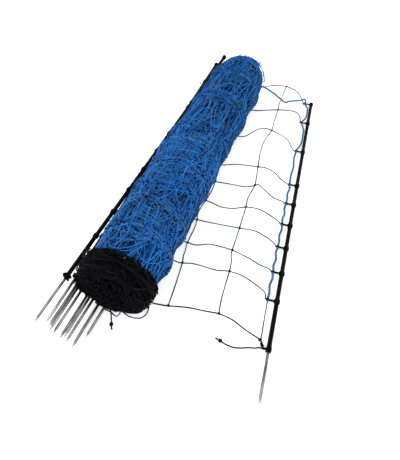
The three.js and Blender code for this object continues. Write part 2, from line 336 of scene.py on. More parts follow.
def plastic_material(name, base, worn, roughness):
    material, tree, shader, links = new_material(name)
    if tree is None:
        return material
    coord = tree.nodes.new('ShaderNodeTexCoord')
    grime = tree.nodes.new('ShaderNodeTexNoise')
    grime.inputs['Scale'].default_value = 40.0
    grime.inputs['Detail'].default_value = 6.0
    links.new(coord.outputs['Object'], grime.inputs['Vector'])
    stretch = tree.nodes.new('ShaderNodeMapping')
    stretch.inputs['Scale'].default_value = (900.0, 25.0, 900.0)
    links.new(coord.outputs['Object'], stretch.inputs['Vector'])
    draw = tree.nodes.new('ShaderNodeTexNoise')
    draw.inputs['Scale'].default_value = 1.0
    links.new(stretch.outputs[0], draw.inputs['Vector'])
    mix = tree.nodes.new('ShaderNodeMix')
    mix.data_type = 'RGBA'
    mix.inputs['A'].default_value = (*base, 1)
    mix.inputs['B'].default_value = (*worn, 1)
    ramp = tree.nodes.new('ShaderNodeMapRange')
    ramp.inputs['From Min'].default_value = 0.45
    ramp.inputs['From Max'].default_value = 0.75
    links.new(grime.outputs['Fac'], ramp.inputs['Value'])
    links.new(ramp.outputs['Result'], mix.inputs['Factor'])
    links.new(mix.outputs['Result'], shader.inputs['Base Color'])
    rough = tree.nodes.new('ShaderNodeMapRange')
    rough.inputs['To Min'].default_value = roughness - 0.08
    rough.inputs['To Max'].default_value = roughness + 0.12
    shader.inputs['Specular IOR Level'].default_value = 0.05
    links.new(grime.outputs['Fac'], rough.inputs['Value'])
    links.new(rough.outputs['Result'], shader.inputs['Roughness'])
    bump = tree.nodes.new('ShaderNodeBump')
    bump.inputs['Strength'].default_value = 0.25
    bump.inputs['Distance'].default_value = 0.0003
    links.new(draw.outputs['Fac'], bump.inputs['Height'])
    links.new(bump.outputs[0], shader.inputs['Normal'])
    return material


def steel_material():
    material, tree, shader, links = new_material("Zinc plated steel")
    if tree is None:
        return material
    coord = tree.nodes.new('ShaderNodeTexCoord')
    stretch = tree.nodes.new('ShaderNodeMapping')
    stretch.inputs['Scale'].default_value = (1.0, 0.12, 1.0)
    links.new(coord.outputs['Object'], stretch.inputs['Vector'])
    patch = tree.nodes.new('ShaderNodeTexNoise')
    patch.inputs['Scale'].default_value = 160.0
    patch.inputs['Detail'].default_value = 4.0
    links.new(stretch.outputs[0], patch.inputs['Vector'])
    mix = tree.nodes.new('ShaderNodeMix')
    mix.data_type = 'RGBA'
    mix.inputs['A'].default_value = (0.14, 0.14, 0.14, 1)
    mix.inputs['B'].default_value = (0.42, 0.42, 0.415, 1)
    ramp = tree.nodes.new('ShaderNodeMapRange')
    ramp.inputs['From Min'].default_value = 0.38
    ramp.inputs['From Max'].default_value = 0.68
    links.new(patch.outputs['Fac'], ramp.inputs['Value'])
    links.new(ramp.outputs['Result'], mix.inputs['Factor'])
    # Painted shade: the steel's colour darkens towards the rod's edges, where the surface turns away from
    # view, for its shaded sides
    rim = tree.nodes.new('ShaderNodeLayerWeight')
    rim.inputs['Blend'].default_value = 0.5
    edge = tree.nodes.new('ShaderNodeMix')
    edge.data_type = 'RGBA'
    edge.inputs['B'].default_value = (0.02, 0.02, 0.02, 1)
    links.new(rim.outputs['Facing'], edge.inputs['Factor'])
    links.new(mix.outputs['Result'], edge.inputs['A'])
    links.new(edge.outputs['Result'], shader.inputs['Base Color'])
    rough = tree.nodes.new('ShaderNodeMapRange')
    rough.inputs['To Min'].default_value = 0.18
    rough.inputs['To Max'].default_value = 0.42
    links.new(patch.outputs['Fac'], rough.inputs['Value'])
    links.new(rough.outputs['Result'], shader.inputs['Roughness'])
    shader.inputs['Metallic'].default_value = 1.0
    bump = tree.nodes.new('ShaderNodeBump')
    bump.inputs['Strength'].default_value = 0.15
    bump.inputs['Distance'].default_value = 0.0002
    links.new(patch.outputs['Fac'], bump.inputs['Height'])
    links.new(bump.outputs[0], shader.inputs['Normal'])
    return material


def blue_strand():
    p = bpy.context.scene.netting_looks
    return strand_material("Blue strand", p.blue_dark, p.blue_light, (0.08, 0.19, 0.30),
                           (0.25, 0.45, 0.75), 0.3, 0.5, 0.04)


def black_strand():
    return strand_material("Black strand", (0.0004, 0.0004, 0.0006), (0.006, 0.0058, 0.0074),
                           (0.010, 0.009, 0.010), (0.08, 0.075, 0.075), 0.25, 0.6, 0.02)


def thin_strand():
    return strand_material("Thin blue strand", (0.001, 0.006, 0.012), (0.004, 0.022, 0.042),
                           (0.006, 0.016, 0.02), (0.25, 0.4, 0.6), 0.2, 0.5, 0.15)


def cord_blue():
    return strand_material("Blue cord", (0.012, 0.07, 0.17), (0.035, 0.19, 0.40), (0.03, 0.14, 0.25),
                           (0.35, 0.5, 0.7), 0.5, 0.5)


def cord_black():
    return strand_material("Black cord", (0.002, 0.002, 0.002), (0.006, 0.006, 0.0065), (0.006, 0.006, 0.006),
                           (0.1, 0.1, 0.1), 0.2, 0.6, 0.05)


def black_plastic():
    return plastic_material("Black post plastic", (0.0015, 0.001, 0.0013), (0.006, 0.005, 0.0055), 0.42)


# Settings


class NettingSizes(bpy.types.PropertyGroup):
    strand: bpy.props.FloatProperty(name="Strand", description="Thickness of one netting strand",
                                    default=0.003, unit='LENGTH')
    wound: bpy.props.FloatProperty(name="Wound strand",
                                   description="Thickness of a strand drawn tight on the roll",
                                   default=0.0025, unit='LENGTH')
    ground: bpy.props.FloatProperty(name="Lowest strand", description="Thickness of the black lowest strand",
                                    default=0.0036, unit='LENGTH')
    layers: bpy.props.IntProperty(name="Layers", description="Turns of netting that show on the roll",
                                  default=80)
    seed: bpy.props.IntProperty(name="Seed", description="Start of the netting's random tangle", default=7)


class NettingLooks(bpy.types.PropertyGroup):
    blue_dark: bpy.props.FloatVectorProperty(name="Dark blue", description="Shaded tone of the strands",
                                             subtype='COLOR', default=(0.0001, 0.009, 0.05))
    blue_light: bpy.props.FloatVectorProperty(name="Light blue", description="Bright tone of the strands",
                                              subtype='COLOR', default=(0.018, 0.215, 0.74))


# Stage


# The photograph's camera: place in drawing millimetres, angles in degrees, focal length and height in pixels
CAMERA_AT = (423.3, -1000.4, 1023.3)
CAMERA_DOWN, CAMERA_LEFT = 49.69, 20.96
FOCAL, FRAME_HEIGHT = 401.24, 460.0
SENSOR = 36.0
FLOOR_SIZE, FLOOR_DROP = 24.0, 0.0004
# Soft lights: name, place, size and power
LIGHTS = (("key", (-1.6, -1.0, 2.6), 1.6, 40), ("fill", (1.8, -0.6, 2.2), 2.0, 22))


class NETTING_OT_stage(bpy.types.Operator):
    """Pale floor, soft lights and the camera"""
    bl_idname = "netting.stage"
    bl_label = "Stage"

    def execute(self, context):
        deselect()
        bpy.ops.mesh.primitive_plane_add(size=FLOOR_SIZE, location=(0, 0, -FLOOR_DROP))
        floor = context.object
        floor.name = "floor"
        settle(floor)
        material, tree, shader, links = new_material("Pale floor")
        shader.inputs['Base Color'].default_value = (0.93, 0.93, 0.93, 1)
        shader.inputs['Roughness'].default_value = 0.9
        shader.inputs['Emission Color'].default_value = (1, 1, 1, 1)
        shader.inputs['Emission Strength'].default_value = 0.45
        paint(floor, material)
        world = bpy.data.worlds.new("Studio")
        context.scene.world = world
        world.use_nodes = True
        back = world.node_tree.nodes['Background']
        back.inputs['Color'].default_value = (1, 1, 1, 1)
        back.inputs['Strength'].default_value = 0.9
        for name, place, size, power in LIGHTS:
            light = bpy.data.lights.new(name, 'AREA')
            light.size = size
            light.energy = power
            obj = bpy.data.objects.new(name, light)
            context.scene.collection.objects.link(obj)
            obj.location = place
            obj.rotation_euler = (-Vector(place)).to_track_quat('-Z', 'Y').to_euler()
        camera = bpy.data.cameras.new("camera")
        camera.sensor_fit = 'VERTICAL'
        camera.sensor_height = SENSOR
        camera.lens = FOCAL * SENSOR / FRAME_HEIGHT
        camera.clip_end = 50.0
        obj = bpy.data.objects.new("camera", camera)
        context.scene.collection.objects.link(obj)
        obj.location = at(*CAMERA_AT)
        pitch, heading = math.radians(CAMERA_DOWN), math.radians(CAMERA_LEFT)
        look = Vector((-math.sin(heading) * math.cos(pitch), math.cos(heading) * math.cos(pitch),
                       -math.sin(pitch)))
        obj.rotation_euler = look.to_track_quat('-Z', 'Y').to_euler()
        context.scene.camera = obj
        context.scene.view_settings.view_transform = 'Standard'
        return {'FINISHED'}


# Cords

TIE_POST = ((414.4, -521.7, 9), (406, -523.5, 7.5), (398, -526.5, 4), (385, -529, 2.4), (353, -542, 2.4),
            (329, -544, 2.4), (310, -540.5, 2.5))
TIE_ROLL = ((-12, -556.3, 38), (-12, -561, 38), (-11.5, -567, 32), (-11, -570, 14), (-6, -580, 2.4),
            (4, -597, 2.5))


TIE_CORD_R, TIE_KNOT_R = 0.0021, 0.0022


def tie_knot(name, line):
    """An overhand knot drawn tight, with its short frayed end."""
    last = line[-1]
    ahead = (last - line[-4])
    ahead.z = 0
    ahead.normalize()
    side = Vector((-ahead.y, ahead.x, 0))
    up = Vector((0, 0, 1))
    centre = last + ahead * 0.005
    centre.z = 0.005
    loops = []
    for k, (tilt, size) in enumerate(((0.0, 0.0040), (0.5, 0.0039), (-0.5, 0.0039))):
        ring = []
        for i in range(17):
            a = 2 * math.pi * i / 16
            ring.append(centre + ahead * (math.sin(tilt) * size * math.cos(a) + (k - 1) * 0.0018)
                        + side * size * math.cos(a) * 0.9 + up * size * math.sin(a) * 0.9)
        loops.append(ring)
    tail = [centre + ahead * (0.001 + 0.002 * i) + side * 0.0006 * math.sin(i)
            + up * (-0.0008 * i if i < 4 else -0.0028) for i in range(7)]
    loops.append(tail)
    loops.append([last, centre])
    for spread in (-0.0011, 0.0, 0.0011):
        loops.append([tail[-1] - ahead * 0.001, tail[-1] + ahead * 0.0022 + side * spread])
    obj = strand_mesh(name, loops, TIE_KNOT_R, 8)
    paint(obj, cord_black())
    return obj


class NETTING_OT_tie_cords(bpy.types.Operator):
    """Free tie cords at the end post and at the roll"""
    bl_idname = "netting.tie_cords"
    bl_label = "Tie cords"

    def execute(self, context):
        for where, route in (("post", TIE_POST), ("roll", TIE_ROLL)):
            line = smooth([at(*p) for p in route], 6)
            cord = strand_mesh("tie_cord_" + where + "_cord", [line], TIE_CORD_R, 10)
            paint(cord, cord_black())
            keep(cord, "cord_black", "tie_cord_" + where)
            knot = tie_knot("tie_cord_" + where + "_knot", line)
            keep(knot, "cord_black", "tie_knot_" + where)
        return {'FINISHED'}


# Posts


class NETTING_OT_posts(bpy.types.Operator):
    """Moulded posts with their strand clips"""
    bl_idname = "netting.posts"
    bl_label = "Posts"

    def execute(self, context):
        for number in POSTS:
            node = "post_%02d" % number
            post = copy_of_node(node, node + "_moulded")
            bpy.ops.object.shade_smooth_by_angle(angle=math.radians(POST_EDGE))
            paint(post, black_plastic())
            keep(post, "post_plastic", node)
        return {'FINISHED'}


class NETTING_OT_spikes(bpy.types.Operator):
    """Plated ground spikes, one turned and pointed rod for each post"""
    bl_idname = "netting.spikes"
    bl_label = "Spikes"

    def execute(self, context):
        for number in POSTS:
            node = "spike_%02d" % number
            spike = copy_of_node(node, node + "_rod")
            bpy.ops.object.mode_set(mode='EDIT')
            bpy.ops.mesh.select_all(action='SELECT')
            bpy.ops.mesh.subdivide(number_cuts=1)
            bpy.ops.object.mode_set(mode='OBJECT')
            bpy.ops.object.shade_smooth_by_angle(angle=math.radians(SPIKE_EDGE))
            paint(spike, steel_material())
            keep(spike, "spike_steel", node)
        return {'FINISHED'}


# Wound netting


def wave(rng, count, size):
    """A slow random wave: its parts as (turns, amplitude, phase)."""
    return [(k + 1, rng.gauss(0, size / (k + 1)), rng.uniform(0, 2 * math.pi)) for k in range(count)]


def ride_wave(parts, t):
    return sum(a * math.sin(k * 2 * math.pi * t + p) for k, a, p in parts)


# The wound netting's outside: waists between the rows' bunches, a swelling beside the posts, a round head
WAIST, WAIST_SPAN = 7.5, 60.0
SWELL, SWELL_SIDE, SWELL_EDGE, SWELL_RISE = 9.0, 165, 0.6, 250.0
HEAD_SPAN, HEAD_FALL = 70.0, 26.0


def skin(angle, y, lumps):
    """How far the wound netting's outside lies from the axis: bunches at the rows, waists between them."""
    near = min(abs(y - FOOT_Y - h) for h in HEIGHTS[1:])
    waist = WAIST * min(near, WAIST_SPAN) / WAIST_SPAN
    size = SKIN_R - waist
    for turn, along, amount, phase in lumps:
        size += amount * math.sin(turn * angle + along * y + phase)
    # The netting swells out to the posts along its upper half
    beside = math.cos(angle - math.radians(SWELL_SIDE))
    if beside > SWELL_EDGE:
        rise = min(max((y + SWELL_RISE) / SWELL_RISE, 0.0), 1.0)
        size += SWELL * (beside - SWELL_EDGE) / (1 - SWELL_EDGE) * rise
    edge = max(0.0, y - (ROLL_HEAD - HEAD_SPAN)) / HEAD_SPAN
    return size - HEAD_FALL * edge * edge


def mark_depth(piece, lumps):
    """Store on the strands how deep they lie below the wound netting's outside, in millimetres, for their
    painted shade.
    """
    depths = []
    for vertex in piece.data.vertices:
        x, y, z = vertex.co.x / MM + MID_X, vertex.co.y / MM + MID_Y, vertex.co.z / MM - ROLL_Z
        depths.append(skin(math.atan2(z, x), y, lumps) - math.hypot(x, z))
    piece.data.attributes.new("Depth", 'FLOAT', 'POINT').data.foreach_set("value", depths)


# The wound net: stays side by side in one layer and their spacing, and how far rows slip from their height
STAY_COLUMNS, STAY_GAP = 6, 150.0
SLIP, SLIP_WITH_HEIGHT = 12.0, 0.016
LOOSE_ROWS, LOOSE_BULGE, TIGHT_BULGE = 0.45, 0.36, 0.12
KNOTS_SEEN, KNOT_LIFT = 0.6, 1.2
# Where a span between two crossings is bent
BENDS = (0.33, 0.67)


def wound_netting(rng, layers):
    """The outer turns of the wound net: rows, black ground rows, stays, knots and the outside's lumps."""
    lumps = [(rng.choice((1, 2, 3, 4)), rng.choice((-1, 1)) * rng.uniform(0.015, 0.06), rng.uniform(1.0, 2.3),
              rng.uniform(0, DRAW_TURN)) for _ in range(6)]
    bunch = [wave(rng, 3, 7.0) for _ in HEIGHTS]
    rows, ground, stays, knots = [], [], [], []
    top = len(HEIGHTS) - 1
    for layer in range(layers):
        depth = DEPTH * (layer / layers) ** 1.3
        pitch = STAY_GAP / (SKIN_R - depth)
        start = rng.uniform(0, 2 * math.pi)
        lean = rng.gauss(0, 0.35)
        shifts = [rng.gauss(0, SLIP + SLIP_WITH_HEIGHT * h) for h in HEIGHTS]
        grid = []
        for c in range(STAY_COLUMNS):
            column = []
            for i, h in enumerate(HEIGHTS):
                share = h / NET_HEIGHT
                angle = start + c * pitch + lean * (share - 0.5) + rng.gauss(0, 0.12)
                y = FOOT_Y + h + shifts[i] + ride_wave(bunch[i], angle / STEP_TURN) + rng.gauss(0, 9.0)
                if i == 0:
                    y = rng.gauss(-528, 13)
                if i == top:
                    y = min(y, ROLL_HEAD - 22 + rng.gauss(0, 5))
                if i == 1:
                    y = max(y, -440)
                column.append((angle, rng.gauss(depth, 1.8), y))
            grid.append(column)

        def place(angle, inward, y, row=1):
            if row == 0:
                y = min(max(y, BLACK_FROM), BLACK_TO)
            y = min(y, ROLL_HEAD - 3)
            return rolled(angle, skin(angle, y, lumps) - max(inward, -1.5), y)

        for i in range(len(HEIGHTS)):
            marks = []
            slack = LOOSE_BULGE if rng.random() < LOOSE_ROWS else TIGHT_BULGE
            gap = HEIGHTS[min(i + 1, top)] - HEIGHTS[min(i, top - 1)]
            for c in range(STAY_COLUMNS):
                angle, inward, y = grid[c][i]
                marks.append(place(angle, inward, y, i))
                if c == STAY_COLUMNS - 1:
                    continue
                ahead, inward2, y2 = grid[c + 1][i]
                bulge = rng.gauss(0, gap * slack)
                for t in BENDS:
                    arch = bulge * math.sin(math.pi * t)
                    marks.append(place(angle + (ahead - angle) * t,
                                       inward + (inward2 - inward) * t + rng.gauss(0, 1.8),
                                       y + (y2 - y) * t + arch + rng.gauss(0, 6.0), i))
            (ground if i == 0 else rows).append(smooth(marks, 3))
        for c in range(STAY_COLUMNS):
            marks = []
            for i in range(len(HEIGHTS)):
                angle, inward, y = grid[c][i]
                if i > 0 and rng.random() < KNOTS_SEEN:
                    knots.append(place(angle, inward - KNOT_LIFT, y))
                if i == 0:
                    y = rng.gauss(-506, 8)
                marks.append(place(angle, inward, y))
                if i == top:
                    continue
                ahead, inward2, y2 = grid[c][i + 1]
                bulge = rng.gauss(0, 0.11)
                for t in BENDS:
                    arch = bulge * math.sin(math.pi * t)
                    marks.append(place(angle + (ahead - angle) * t + arch + rng.gauss(0, 0.03),
                                       inward + (inward2 - inward) * t + rng.gauss(0, 1.2), y + (y2 - y) * t))
            stays.append(smooth(marks, 2))
    return rows, ground, stays, knots, lumps


def knot_mesh(name, places, size, rng):
    """Tight knots: a small pinched bead copied to every crossing."""
    deselect()
    bpy.ops.mesh.primitive_ico_sphere_add(subdivisions=1, radius=size, location=(0, 0, 0))
    bead = bpy.context.object
    bead.name = name
    mesh = bead.data
    source = bmesh.new()
    source.from_mesh(mesh)
    corners = [v.co.copy() for v in source.verts]
    faces = [[v.index for v in f.verts] for f in source.faces]
    source.free()
    verts, polys = [], []
    for place in places:
        turn = Matrix.Rotation(rng.uniform(0, DRAW_TURN), 3, 'Z')
        turn = turn @ Matrix.Rotation(rng.uniform(0, DRAW_TURN), 3, 'X')
        stretch = Vector((rng.uniform(0.8, 1.35), rng.uniform(0.8, 1.1), rng.uniform(0.75, 1.0)))
        first = len(verts)
        place = Vector((place.x, place.y, max(place.z, size)))
        verts.extend(place + turn @ Vector((c.x * stretch.x, c.y * stretch.y, c.z * stretch.z))
                     for c in corners)
        polys.extend([first + i for i in f] for f in faces)
    mesh.clear_geometry()
    mesh.from_pydata(verts, [], polys)
    mesh.update()
    activate(bead)
    bpy.ops.object.shade_smooth()
    return bead


# The cores: how far they are drawn in, and the hub and lowest height that they keep, in metres
ROLL_CORE_IN, FOOT_CORE_IN, CORE_HUB, CORE_LOW = 0.014, 0.012, 0.02, 0.004
KNOT_SIZE = 0.0034
# How many strands the black tangle and the roll's head have
FOOT_TURNS, FOOT_FRINGE, FOOT_HITCHES, HEAD_TURNS = 150, 34, 5, 46


def shrunk_core(node, name, inward):
    """The wound net's inside, painted dark as shade by its caller: the solid, drawn in below the outer turns.
    """
    core = copy_of_node(node, name)
    axis = at(0, 0, ROLL_Z)
    for vertex in core.data.vertices:
        out = Vector((vertex.co.x - axis.x, 0, vertex.co.z - axis.z))
        if out.length > CORE_HUB:
            vertex.co -= out.normalized() * inward
        vertex.co.z = max(vertex.co.z, CORE_LOW)
    core.data.update()
    return core


class NETTING_OT_wound(bpy.types.Operator):
    """Blue netting wound round the posts"""
    bl_idname = "netting.wound"
    bl_label = "Wound netting"

    def execute(self, context):
        sizes = context.scene.netting_sizes
        rng = random.Random(sizes.seed)
        core = shrunk_core("netting_roll", "netting_roll_core", ROLL_CORE_IN)
        # Painted shade: the core is the same blue netting as the outer turns, coloured almost black-blue for
        # the shade deep in the roll
        paint(core, core_material("Blue tangle in painted shade", (0.0003, 0.003, 0.010), (0.001, 0.014, 0.055)))
        keep(core, "netting_blue", "netting_roll")
        rows, ground, stays, knots, lumps = wound_netting(rng, sizes.layers)
        half = sizes.wound / 2
        middle_row, middle_stay = len(rows) // 2, len(stays) // 2
        for name, lines in (("netting_roll_rows_outer", rows[:middle_row]),
                            ("netting_roll_rows_inner", rows[middle_row:]),
                            ("netting_roll_stays_outer", stays[:middle_stay]),
                            ("netting_roll_stays_inner", stays[middle_stay:])):
            piece = strand_mesh(name, lines, half)
            mark_depth(piece, lumps)
            paint(piece, blue_strand())
            keep(piece, "netting_blue")
        piece = knot_mesh("netting_roll_knots", knots, KNOT_SIZE, rng)
        paint(piece, black_strand())
        keep(piece, "netting_black")
        core = shrunk_core("netting_roll_foot", "netting_roll_foot_core", FOOT_CORE_IN)
        # The black tangle's core: the lowest strand's own black, a little darker still as painted shade
        paint(core, core_material("Black tangle", (0.0003, 0.0003, 0.0003), (0.0018, 0.0016, 0.002)))
        keep(core, "netting_black", "netting_roll_foot")
        tangle = ground + foot_turns(rng, FOOT_TURNS) + foot_fringe(rng, FOOT_FRINGE)
        tangle += foot_hitches(rng, FOOT_HITCHES) + [smooth([at(*p) for p in loop], 6) for loop in LOOPS]
        piece = strand_mesh("netting_roll_lowest", tangle, sizes.ground / 2)
        paint(piece, black_strand())
        keep(piece, "netting_black")
        piece = strand_mesh("netting_roll_head_turns", head_turns(rng, HEAD_TURNS) + stray_loops(rng), half)
        paint(piece, blue_strand())
        keep(piece, "netting_blue")
        return {'FINISHED'}


def foot_point(angle, r, y, rng, jitter):
    """A point in the black tangle, which spills forward where it meets the ground."""
    r = min(max(r + rng.gauss(0, jitter), 4), 134)
    z = ROLL_Z + r * math.sin(angle)
    spill = max(0.0, 1.0 - max(z, 0.0) / 55.0) * (1.0 if r < 109 else 0.4)
    spill *= math.exp(-((r * math.cos(angle) + 20.0) / 45.0) ** 2)
    return rolled(angle, r, y - 14.0 * spill ** 1.5 + rng.gauss(0, jitter))


def foot_turns(rng, count):
    """Turns of the lowest strand: round the roll's foot, over its end, and round the post feet."""
    lines = []
    for _ in range(count):
        kind = rng.random()
        start = rng.uniform(0, 2 * math.pi)
        marks = []
        if kind < 0.55:
            r0, y0, arc = rng.uniform(98, 109), rng.uniform(-548, -503), rng.uniform(0.25, 0.8)
            ring, along = wave(rng, 4, 2.5), wave(rng, 4, 8)
            steps = int(40 * arc) + 4
            for i in range(steps + 1):
                t = i / steps
                edge = max(0.0, -528 - y0) / 12
                marks.append(foot_point(start + STEP_TURN * arc * t, r0 + ride_wave(ring, t) - 8 * edge,
                                        min(y0 + ride_wave(along, t), BLACK_TO), rng, 1.3))
        elif kind < 0.8:
            r0, arc = rng.uniform(14, 100), rng.uniform(0.3, 0.9)
            ring, along = wave(rng, 4, 14), wave(rng, 4, 4)
            steps = int(34 * arc * (r0 / 100) ** 0.5) + 4
            for i in range(steps + 1):
                t = i / steps
                r = r0 + ride_wave(ring, t)
                edge = max(0.0, r - 84) / 22
                marks.append(foot_point(start + STEP_TURN * arc * t, min(r, 104),
                                        ROLL_FOOT - 2 + rng.uniform(-3, 3) + ride_wave(along, t) * 0.5
                                        + 16 * edge * edge, rng, 1.6))
        else:
            turn = rng.gauss(0, 1.5)
            reach, steps = rng.uniform(20, 80), 14
            for i in range(steps + 1):
                t = i / steps
                r = 106 - reach * math.sin(math.pi * t)
                edge = max(0.0, r - 84) / 22
                marks.append(foot_point(start + turn * t, r, ROLL_FOOT - 4 + 18 * edge * edge, rng, 2.0))
        lines.append(smooth(marks, 2))
    return lines


def foot_fringe(rng, count):
    """Short ends of the lowest strand hitched to the feet of the bundled posts."""
    lines = []
    for _ in range(count):
        start = math.radians(rng.uniform(196, 252))
        arc = math.radians(rng.uniform(12, 42)) * rng.choice((-1, 1))
        peak, y0 = rng.uniform(6, 20), rng.uniform(-560, -530)
        marks = []
        for i in range(8):
            t = i / 7
            marks.append(foot_point(start + arc * t, 106 + peak * math.sin(math.pi * t), y0 + 10 * t,
                                    rng, 1.8))
        lines.append(smooth(marks, 2))
    return lines


def foot_hitches(rng, turns):
    """Turns of the lowest strand hitched round the foot of every bundled post."""
    lines = []
    for number in BUNDLED:
        corners = [v.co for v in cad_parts["post_%02d" % number].data.vertices]
        end = min(c.y for c in corners)
        foot = [c for c in corners if c.y < end + 0.004]
        middle = sum(foot, Vector()) / len(foot)
        for _ in range(turns):
            wide, high = rng.uniform(0.008, 0.012), rng.uniform(0.008, 0.013)
            y, slant = end + rng.uniform(0.002, 0.022), rng.gauss(0, 0.005)
            start, arc = rng.uniform(0, DRAW_TURN), rng.uniform(0.6, 1.1)
            marks = []
            for i in range(9):
                a = start + 2 * math.pi * arc * i / 8
                marks.append(Vector((middle.x + wide * math.cos(a) + rng.gauss(0, 0.0012),
                                     y + slant * math.cos(a),
                                     middle.z + high * math.sin(a) + rng.gauss(0, 0.0012))))
            lines.append(smooth(marks, 2))
    return lines


# Slack loops that stand off the wound netting beside the posts, as middle and size in millimetres
STRAYS = (((-105, 18, 152), 11, 16), ((-110, 398, 172), 4, 5), ((-104, -60, 146), 7, 9),
          ((100, 470, 130), 8, 26), ((99, 240, 122), 7, 24), ((104, 60, 110), 5, 18),
          ((-20, 628, 196), 12, 10), ((66, 622, 176), 16, 12), ((97, -120, 116), 5, 16),
          ((103, 330, 96), 6, 20))


def stray_loops(rng):
    """Slack loops of the thin strand at the roll's sides."""
    lines = []
    for (x, y, z), wide, long in STRAYS:
        marks = []
        for i in range(13):
            a = 2 * math.pi * i / 12
            marks.append(at(x + wide * math.cos(a) * 0.8 + rng.gauss(0, 0.6), y + long * math.sin(a),
                            z + wide * math.cos(a) * 0.6 + rng.gauss(0, 0.6)))
        lines.append(smooth(marks, 3))
    return lines


# Loops of the lowest strand that lie on the ground in front of the roll
LOOPS = (((-38, -555, 6), (-34, -566, 4), (-16, -568, 3), (8, -574, 3), (14, -559, 8)),
         ((19, -557, 6), (42, -562, 3), (72, -556, 3), (84, -536, 3), (80, -512, 6)))


def head_turns(rng, count):
    """Top strand loops that curl over the roll's head."""
    lines = []
    for _ in range(count):
        r0 = rng.uniform(10, 95)
        ring = wave(rng, 4, 12)
        along = wave(rng, 4, 5)
        start = rng.uniform(0, 2 * math.pi)
        arc = rng.uniform(0.4, 1.0)
        steps = max(12, int(34 * arc * (r0 / 100) ** 0.5))
        line = []
        for i in range(steps + 1):
            t = i / steps
            r = min(max(r0 + ride_wave(ring, t), 4), 106)
            edge = max(0.0, r - 80) / 28
            y = min(ROLL_HEAD + 1 + ride_wave(along, t) - 26 * edge * edge, ROLL_HEAD + 14)
            line.append(rolled(start + 2 * math.pi * arc * t, r, y))
        lines.append(line)
    return lines


def core_material(name, dark, light):
    """The deep tangle behind the outer turns: crossing streaks of strands, coloured darker than the outer
    turns as painted shade.
    """
    material, tree, shader, links = new_material(name)
    if tree is None:
        return material
    coord = tree.nodes.new('ShaderNodeTexCoord')
    heights = []
    for turn, scale in ((0.5, (60, 320, 60)), (-0.7, (420, 50, 420))):
        place = tree.nodes.new('ShaderNodeMapping')
        place.inputs['Rotation'].default_value = (0, 0, turn)
        place.inputs['Scale'].default_value = scale
        links.new(coord.outputs['Object'], place.inputs['Vector'])
        noise = tree.nodes.new('ShaderNodeTexNoise')
        noise.inputs['Scale'].default_value = 1.0
        noise.inputs['Detail'].default_value = 2.0
        links.new(place.outputs[0], noise.inputs['Vector'])
        heights.append(noise)
    high = tree.nodes.new('ShaderNodeMath')
    high.operation = 'MAXIMUM'
    links.new(heights[0].outputs['Fac'], high.inputs[0])
    links.new(heights[1].outputs['Fac'], high.inputs[1])
    ramp = tree.nodes.new('ShaderNodeMapRange')
    ramp.inputs['From Min'].default_value = 0.48
    ramp.inputs['From Max'].default_value = 0.68
    links.new(high.outputs[0], ramp.inputs['Value'])
    mix = tree.nodes.new('ShaderNodeMix')
    mix.data_type = 'RGBA'
    mix.inputs['A'].default_value = (*dark, 1)
    mix.inputs['B'].default_value = (*light, 1)
    links.new(ramp.outputs['Result'], mix.inputs['Factor'])
    links.new(mix.outputs['Result'], shader.inputs['Base Color'])
    bump = tree.nodes.new('ShaderNodeBump')
    bump.inputs['Strength'].default_value = 0.8
    bump.inputs['Distance'].default_value = 0.002
    links.new(high.outputs[0], bump.inputs['Height'])
    links.new(bump.outputs[0], shader.inputs['Normal'])
    shader.inputs['Roughness'].default_value = 0.9
    shader.inputs['Specular IOR Level'].default_value = 0.0
    return material


# Unrolled netting

# Routes of the unrolled strands in drawing millimetres, lowest first; each ends at its clip's eye
ROWS = (
    ((52, -338, 9), (93, -339, 3), (110, -337, 1.9), (142, -327, 1.9), (184, -325, 1.9), (220, -324, 1.9),
     (257, -314, 1.9), (301, -316, 1.9), (343, -331, 3), (377, -350, 6)),
    ((52, -257, 9), (95, -256, 3), (127, -254, 1.9), (162, -237, 1.9), (198, -233, 1.9), (240, -233, 1.9),
     (292, -243, 1.9), (339, -258, 3), (368, -264, 6)),
    ((52, -156, 9), (88, -152, 3), (130, -148, 1.9), (175, -143, 1.9), (234, -136, 1.9), (282, -129, 1.9),
     (327, -142, 3), (358, -161, 6)),
    ((52, -52, 9), (84, -55, 3), (112, -58, 1.9), (144, -65, 1.9), (186, -57, 1.9), (226, -35, 1.9),
     (268, -28, 1.9), (307, -40, 3), (346, -62, 6)),
    ((52, 45, 9), (82, 49, 3), (137, 57, 1.9), (197, 64, 1.9), (225, 83, 1.9), (237, 92, 1.9),
     (271, 68, 1.9), (307, 43, 3), (338, 35, 6)),
    ((52, 142, 9), (74, 145, 4), (132, 173, 1.9), (208, 187, 1.9), (238, 192, 1.9), (273, 179, 1.9),
     (308, 148, 3), (332, 131, 6)),
    ((72, 316, 22), (96, 320, 21), (116, 334, 22), (144, 382, 24), (173, 398, 29), (205, 394, 30),
     (251, 386, 22), (280, 370, 17), (304, 336, 12)),
    ((52, 540, 9), (83, 547, 3), (122, 563, 1.9), (187, 592, 1.9), (240, 603, 4), (275, 590, 7),
     (294, 552, 8)),
    ((78, 560, 104), (104, 610, 86), (129, 681, 60), (155, 717, 46), (187, 732, 40), (219, 727, 36),
     (246, 722, 26), (266, 706, 12), (279, 688, 5)),
)
